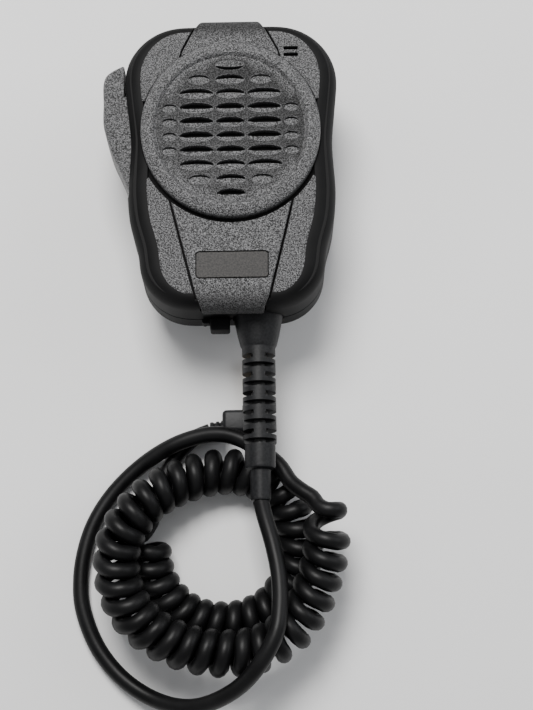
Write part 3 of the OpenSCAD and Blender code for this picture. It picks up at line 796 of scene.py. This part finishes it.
def spine_strip():
    """The strip swept along the face, with rolled ends and rounded long edges."""
    fold = 4.6
    foot_fold = 3.2
    edge_r = 0.5
    under = -1.6
    beside = -0.55
    tab_y = spine_edge[0][1]
    end_y = spine_edge[-1][1]

    def tab_half(y):
        return spine_half(y) - 0.9 * max(0.0, (y - tab_y + 1.2) / 1.2) ** 2

    stations = [(tab_y, z, 7.0 + 0.05 * (z - 28), 1, 0) for z in np.linspace(28, spine_z - fold, 8)]
    for a in np.linspace(0.12, math.pi / 2, 12):
        y = tab_y - fold + fold * math.cos(a)
        stations.append((y, spine_z - fold + fold * math.sin(a), tab_half(y), math.cos(a), math.sin(a)))
    stations += [(y, spine_z, spine_half(y), 0, 1) for y in (
        39, 37.7, 36.3, 35, 32.6, 28, 20, 12, 4, -4, -11.8, -16, -20, -24, -28, -32, -36, -38.6)]
    for a in np.linspace(0, math.pi / 2, 12):
        y = end_y + foot_fold - foot_fold * math.sin(a)
        stations.append((y, spine_z - foot_fold + foot_fold * math.cos(a), spine_half(y),
                         -math.sin(a), math.cos(a)))
    stations += [(end_y, z, 8.8 - 0.08 * (34.4 - z), -1, 0) for z in np.linspace(34.2, 31, 4)]
    mesh = bmesh.new()
    rings = []
    for y, z, half, ny, nz in stations:
        section = [(-half, under), (-half, beside)]
        section += [(-half + edge_r - edge_r * math.cos(a), -edge_r + edge_r * math.sin(a))
                    for a in np.linspace(0.2, math.pi / 2, 5)]
        section += [(half * t, 0) for t in (-0.5, 0, 0.5)]
        section += [(half - edge_r + edge_r * math.sin(a), -edge_r + edge_r * math.cos(a))
                    for a in np.linspace(0, math.pi / 2 - 0.2, 5)]
        section += [(half, beside), (half, under)]
        rings.append([mesh.verts.new((x * MM, (y + v * ny) * MM, (z + v * nz) * MM))
                      for x, v in section])
    bridge(mesh, rings)
    mesh.faces.new(rings[0])
    mesh.faces.new(rings[-1])
    return finished("spine", mesh)


def pill_cutter(name, x0, y0, x1, y1, z0, z1, radius):
    """A tall plate with rounded corners, for carving a recess."""
    loop = []
    for cx, cy, start in ((x1 - radius, y1 - radius, 0), (x0 + radius, y1 - radius, 90),
                          (x0 + radius, y0 + radius, 180), (x1 - radius, y0 + radius, 270)):
        loop += [(cx + radius * math.cos(math.radians(start + a)),
                  cy + radius * math.sin(math.radians(start + a))) for a in range(0, 91, 15)]
    return raised_plate(name, loop, [(0, z0), (0, z1)], [0] * len(loop)), loop


recess, recess_loop = pill_cutter("recess", -10.25, label_y - 4, 10.25, label_y + 4,
                                  spine_z - 0.6, spine_z + 2, 1.2)
below_grille = [tuple(point - (0, 0.55)) for point in grille_oval(0.85)]
spine = smoothed(carved(spine_strip(), [
    recess, raised_plate("grille_way", below_grille, [(0, 35), (0, 45)],
                         [0] * len(below_grille))]))
# Painted shade on the spine's low parts, such as the label recess and the long edges, and on its folded
# ends, darker further round each fold.
shade_mark = paint_shade_below(spine, 36.9, 37.4)
fold_start = 36.5
for i, vertex in enumerate(spine.data.vertices):
    y = vertex.co.y / MM
    if y >= fold_start:
        shade_mark.data[i].value = min(0.7, 0.19 * (y - fold_start))
    elif y <= -fold_start:
        shade_mark.data[i].value = min(0.6, 0.15 * (-fold_start - y))
dress(spine, grained_plastic, "shell_plastic", "housing", "spine_panel")


# ---------------------------------------------------------------- label
# A thin plate let into the recess and left blank. It is dark bronze-grey, with a fine grain
# and a narrow gap all round.
label_plate = plain_finish("label_plate_paint", (0.003, 0.0028, 0.0026), (0.03, 0.027, 0.025), 0.5,
                           2200, 0.0, 0.00014, specular=0.25)
label = raised_plate("label", inset_loop(recess_loop, [0.28] * len(recess_loop)),
                     [(0, spine_z - 0.62), (0, spine_z - 0.2), (0.4, spine_z - 0.08), (1, spine_z - 0.04)],
                     [0.2] * len(recess_loop))
dress(smoothed(label), label_plate, "label_metal", "housing", "label_plate")


# ---------------------------------------------------------------- grille
# The round speaker grille, moulded in one piece: a broad sloping rim and a plate with 34 oval
# scoops. Each scoop's floor falls away from its lower edge to a slit under its upper edge.
rim_profile = [(4.6, 38.7), (4.35, 38.78), (4.1, 39.05), (3.85, 39.45), (3.5, 39.76), (3.0, 39.88),
               (2.4, 39.82), (1.6, 39.6), (0.9, 39.3), (0.4, 39.0), (0.1, 38.6), (0, 38.1),
               (0, 36.1)]
plate_top = 38.7
rows_y = 9.0
row_pitch = 4.28
scoop_sides = 36
scoops = [(0.0, row, 8.1, 2.95) for row in range(10)]
for side in (-1, 1):
    scoops += [(side * 8.8, row, 6.1, 2.85) if row in (1, 8) else (side * 9.6, row, 9.6, 3.1)
               for row in range(1, 9)]
    scoops += [(side * 17.2, row, 4.1, 2.5) for row in range(3, 7)]
wide_slit = 0.56
middling_slit = 0.36
narrow_slit = 0.14


def slit_of(x, row):
    """The share that a scoop's opening takes, narrower towards the edge of the grille."""
    if abs(x) > 12 or x != 0 and row in (1, 8):
        return narrow_slit
    return middling_slit if row in (0, 1, 2, 7, 8) else wide_slit


def scoop(slit):
    """A scoop one unit wide and one unit high; slit is the share its opening takes."""
    mesh = bmesh.new()
    half_wide = 0.485
    wall_depth = 1.9

    def ring(place):
        return [mesh.verts.new(place(math.tau * k / scoop_sides)) for k in range(scoop_sides)]

    def brim(grow, z):
        return ring(lambda a: ((0.5 + grow) * math.cos(a), (0.5 + 1.6 * grow) * math.sin(a), z))

    def slope(y):
        return -0.08 - 0.5 * (y + 0.5)

    def drop(a, deep):
        y = half_wide * math.sin(a)
        return (half_wide * math.cos(a), y, slope(y) - deep * max(0.0, math.sin(a)) ** 0.5)

    def bed(a, deep):
        y = half_wide * math.sin(a) - slit * max(0.0, math.sin(a)) ** 0.8
        return (0.484 * math.cos(a), y, slope(y) - deep * max(0.0, math.sin(a)) ** 0.5)

    def middle(a):
        x, y, z = bed(a, 0)
        return (0.8 * x, 0.8 * y - 0.02, z + 0.02)

    rings = [brim(0.035, 0), brim(0.018, -0.03), brim(0.004, -0.08),
             ring(lambda a: drop(a, wall_depth)), ring(lambda a: bed(a, wall_depth)),
             ring(lambda a: bed(a, 0.04)), ring(middle)]
    bridge(mesh, rings)
    mesh.faces.new(rings[-1])
    for face in mesh.faces:
        face.smooth = True
    return built("scoop", mesh)


def grille_mesh():
    """The rim, the plate with its oval holes, and the scoops under them, as one surface."""
    mesh = bmesh.new()
    for slit in (wide_slit, middling_slit, narrow_slit):
        group = [place for place in scoops if slit_of(*place[:2]) == slit]
        copies = repeated(
            "scoops", scoop(slit),
            [(x, rows_y + (4.5 - row) * row_pitch, plate_top) for x, row, _, _ in group],
            grained_plastic, turn=[(0, 0, math.pi if row == 0 else 0) for _, row, _, _ in group],
            stretch=[(width * MM, height * MM, MM) for _, _, width, height in group])
        mesh.from_mesh(copies.data)
        bpy.data.objects.remove(copies)
    lips = [edge for edge in mesh.edges if edge.is_boundary]
    outer = []
    for inward, z in rim_profile:
        outer.append([mesh.verts.new((x * MM, y * MM, z * MM)) for x, y in grille_oval(-inward)])
    bridge(mesh, outer)
    circle = [mesh.edges.get(pair) for pair in zip(outer[0], outer[0][1:] + outer[0][:1])]
    bmesh.ops.triangle_fill(mesh, edges=lips + circle, use_beauty=True, normal=(0, 0, 1))
    mesh.faces.new(outer[-1])
    return mesh


grille = smoothed(finished("grille", grille_mesh(), 28), 28)
# Painted shade: full in the scoops and low on the rim's wall, and part over the plate, darker towards its
# upper right.
shade_mark = grille.data.attributes.new("painted_shade", "FLOAT", "POINT")
plate_r = 21
for i, vertex in enumerate(grille.data.vertices):
    x, y, z = vertex.co / MM
    away = math.hypot(x, y - grille_y)
    if z < plate_top - 0.75 and (away < plate_r or z < 37):
        shade_mark.data[i].value = 1
    elif abs(z - plate_top) < 0.02 and away < plate_r:
        shade_mark.data[i].value = 0.58 + 0.008 * (0.5 * x + 0.87 * (y - grille_y))
dress(grille, grained_plastic, "shell_plastic", "housing", "speaker_grille")


# ---------------------------------------------------------------- rubber bumpers
# Two soft black mouldings that wrap the edge of the housing and meet at its middle line. They
# are stretched over the shells before the spine panel goes on.
soft_rubber = worn_finish("soft_rubber", (1600, 0.3, 0.00006), (90, 5), (0.003, 0.003, 0.0032),
                          (0.006, 0.006, 0.0063), (0.55, 0.68), 0.13)
wall_section = [(rubber_seat, 14.0), (0.7, 14.0), (0.3, 14.15), (0.08, 14.5), (0, 15.1), (0, 21.65),
                (0.28, 21.85), (0.28, 22.15), (0, 22.35)]
shoulder_z = 31.0
lip_z = 36.95


def bumper_section(reach):
    """The rubber's section (inset, height) where its lip reaches in by a distance."""
    shoulder = [(reach * (1 - math.cos(a)), shoulder_z + (lip_z - shoulder_z) * math.sin(a))
                for a in np.linspace(0, math.pi / 2, 14)]
    return wall_section + shoulder + [(reach + 0.12, 36.8), (reach + 0.12, 36.03), (2.0, 36.02),
                                      (rubber_seat, 35.9)]


def spine_cutter():
    """A prism a little wider than the spine panel."""
    edge = [(spine_half(y) + 0.55, y) for y in (-46, -43, -39.5, -11.8, 32.6, 43.6, 46)]
    loop = edge + [(-x, y) for x, y in reversed(edge)]
    return raised_plate("spine_way", loop, [(0, 36.0), (0, 45)], [0] * len(loop))


def disc_cutter():
    """A plug a little larger than the grille."""
    loop = [tuple(point) for point in grille_oval(0.2)]
    return raised_plate("disc_way", loop, [(0, 35.9), (0, 45)], [0] * len(loop))


def bumper(name, side):
    """Half of the rubber, swept along the housing's edge from its top to its foot."""
    half = rim_count // 2
    picks = range(0, half + 1) if side > 0 else range(half, rim_count + 1)
    mesh = bmesh.new()
    rings = []
    for i in picks:
        k = i % rim_count
        point, normal = rim[k], rim_normal[k]
        rings.append([mesh.verts.new(((point[0] - inset * normal[0]) * MM, (
            point[1] - inset * normal[1]) * MM, z * MM)) for inset, z in bumper_section(lip[k])])
    bridge(mesh, rings)
    mesh.faces.new(rings[0])
    mesh.faces.new(rings[-1])
    cutters = [
        rounded_box("tab_way", (-8.7, 37, 27.6), (8.7, 46, 36.2), 0.4),
        rounded_box("foot_way", (-9.2, -46, 30.6), (9.2, -38.2, 45), 0.4),
        foot_way("boot_way", boot_x, 7.3), foot_way("socket_way", socket_x, 3.1),
        spine_cutter(), disc_cutter()]
    if side < 0:
        cutters.append(rounded_box("paddle_way", (-34, -8.8, 16.6), (-20, 31.4, 33.4), 0.9, 4))
    return smoothed(carved(finished(name, mesh), cutters), 40)


for name, side, node in (("bumper_l", -1, "bumper_left"), ("bumper_r", 1, "bumper_right")):
    dress(bumper(name, side), soft_rubber, "frame_rubber", "housing", node)


# ---------------------------------------------------------------- talk paddle
# The push-to-talk paddle, a hard moulding in the grained plastic. It turns on a steel pin near
# its lower end and stands out most near the top, where the thumb lies.
pin_x = -26.5
pin_y = -5.5
paddle_back_x = -27.6
paddle_tip_back_x = -30.5
paddle_z = (17.1, 32.9)
paddle_edge_r = 1.6


def talk_paddle():
    """The paddle's side outline, plumped up with soft edges all round."""
    side = smooth_line([(-31.2, 30.9, 0), (-33.6, 30.0, 0), (-35.6, 28.5, 0), (-36.5, 26.2, 0),
                        (-36.5, 20, 0), (-36.45, 13.4, 0), (-35.5, 9.3, 0), (-34.1, 4.9, 0),
                        (-32.3, 0.9, 0), (-30.7, -2.9, 0), (-29.3, -6.6, 0)], 0.6)[:, :2]
    knuckle = [(pin_x + 1.7 * math.cos(a), pin_y + 1.7 * math.sin(a))
               for a in np.linspace(math.radians(-115), math.radians(115), 12)]
    loop = [tuple(p) for p in side] + [(-28.7, -7.6), (-27.7, -7.6)] + knuckle + [
        (paddle_back_x, -3.6), (paddle_back_x, 21.2), (paddle_tip_back_x, 21.6),
        (paddle_tip_back_x, 30.8)]
    rolls = [min(1.5, 0.35 * ((paddle_back_x if y < 22 else -30.4) - x)) for x, y in side[:-1]]
    rolls += [0.15] * (len(loop) - len(rolls))
    quarter = np.linspace(0, math.pi / 2, 7)
    levels = [(1 - math.sin(a), paddle_z[0] + paddle_edge_r * (1 - math.cos(a)))
              for a in quarter]
    levels += [(1 - math.cos(a), paddle_z[1] - paddle_edge_r * (1 - math.sin(a)))
               for a in quarter]
    return smoothed(carved(raised_plate("paddle", loop, levels, rolls), [
        rod("pin_way", (pin_x, pin_y, 10), (pin_x, pin_y, 40), 0.83, 24)]))


dress(talk_paddle(), grained_plastic, "shell_plastic", "paddle", "talk_paddle")


# ---------------------------------------------------------------- socket cap
# A soft block that closes the earphone socket. A short strap and a round bead on its left
# are its hinge, moulded in one with it.
cap = joined("cap", [
    rounded_box("cap_block", (-6.7, -45.8, 19), (-1.1, -42.1, 25), 0.7, 4),
    rod("cap_nub", (socket_x, -42.3, seam_z), (socket_x, -40.9, seam_z), 2.2, 32),
    rounded_box("cap_strap", (-8.3, -43.6, 20.3), (-6.5, -42.2, 23.7), 0.4, 3),
    rod("cap_bead", (-8.2, -42.9, 20.3), (-8.2, -42.9, 23.7), 0.78, 24)])
dress(cap, soft_rubber, "frame_rubber", "cap", "socket_cap")


# ---------------------------------------------------------------- cable boot
# The strain relief, moulded on to the cable: a flange against the housing, a tube with slots
# cut from alternate sides so that it bends, a plain collar and a thin sleeve.
boot_profile = [
    (0, -38.2), (4.0, -38.2), (4.0, -40.2), (6.6, -40.2), (6.95, -40.35), (7.1, -40.8), (6.95, -41.9),
    (5.9, -47.2), (5.15, -50.1), (4.85, -50.6), (4.7, -51.0), (4.7, -77.9), (4.62, -78.2),
    (4.3, -78.5), (4.3, -84.6), (4.1, -85.2), (3.6, -85.5), (2.95, -85.7), (2.9, -86.2),
    (2.85, -93.6), (2.7, -94.1), (0, -94.1)]
boot_rubber = plain_finish("boot_moulding", (0.005, 0.0053, 0.006), (0.012, 0.0123, 0.0134), 0.5,
                           1500, specular=0.22)
boot = turned("boot", [(r, -y) for r, y in boot_profile], (boot_x, 0, seam_z), (0, -1, 0), 96)
slot_pitch = 5.4
slot_rows = 5
boot_cutters = []
for first, sideways in ((-53.7, True), (-56.3, False)):
    for sign in (-1, 1):
        low, high = ((1.6, -0.7, -6), (6.2, 0.7, 6)) if sideways else ((-6, -0.7, 1.6), (6, 0.7, 6.2))
        notch = rounded_box("notch", low, high, 0.35, 3)
        turn = (0, math.pi if sign < 0 else 0, 0)
        boot_cutters.append(repeated(
            "notches", notch, [(boot_x, first - slot_pitch * i, seam_z) for i in range(slot_rows)],
            boot_rubber, turn=[turn] * slot_rows))
boot = smoothed(carved(boot, boot_cutters), 30)
dress(boot, boot_rubber, "boot_rubber", "housing", "cable_boot")


# ---------------------------------------------------------------- belt clip
# A spring clip in black nylon on a round base that swivels on the rear shell. Its jaw turns
# on a steel pin against a torsion spring.
def softened(name, node, width):
    """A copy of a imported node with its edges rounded."""
    mesh = bmesh.new()
    mesh.from_mesh(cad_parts[node].data)
    bmesh.ops.remove_doubles(mesh, verts=mesh.verts, dist=2e-6)
    bmesh.ops.dissolve_limit(mesh, angle_limit=math.radians(0.5), verts=mesh.verts, edges=mesh.edges)
    piece = built(name, mesh)
    bevel = piece.modifiers.new("bevel", "BEVEL")
    bevel.width = width * MM
    bevel.segments = 2
    bevel.limit_method = "ANGLE"
    bevel.angle_limit = math.radians(40)
    bevel.use_clamp_overlap = True
    return smoothed(applied(piece))


clip_nylon = plain_finish("clip_nylon", (0.016, 0.016, 0.0165), (0.03, 0.03, 0.031), 0.46, 2000)
dress(softened("clip_foot", "clip_base", 0.3), clip_nylon, "clip_plastic", "clip_swivel", "clip_base")
dress(softened("clip_jaw_arm", "clip_arm", 0.35), clip_nylon, "clip_plastic", "clip_jaw", "clip_arm")
bright_spring = plain_finish("bright_spring", (0.45, 0.45, 0.44), (0.62, 0.62, 0.6), 0.28, 2500, 1.0)
paint(bright_spring, ["clip_pin", "clip_spring", "swivel_screw", "swivel_washer"])


# ---------------------------------------------------------------- plug shaft
# The four poles of the plug are gold-plated brass, parted by three black rings. Their
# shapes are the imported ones.
gold = plain_finish("gold_plate", (0.72, 0.5, 0.22), (0.85, 0.62, 0.3), 0.22, 1500, 1.0, 0.00002)
ring_black = plain_finish("ring_black", (0.008, 0.008, 0.008), (0.014, 0.014, 0.014), 0.35, 1500)
paint(gold, ["plug_shaft"])
paint(ring_black, ["plug_bands"])
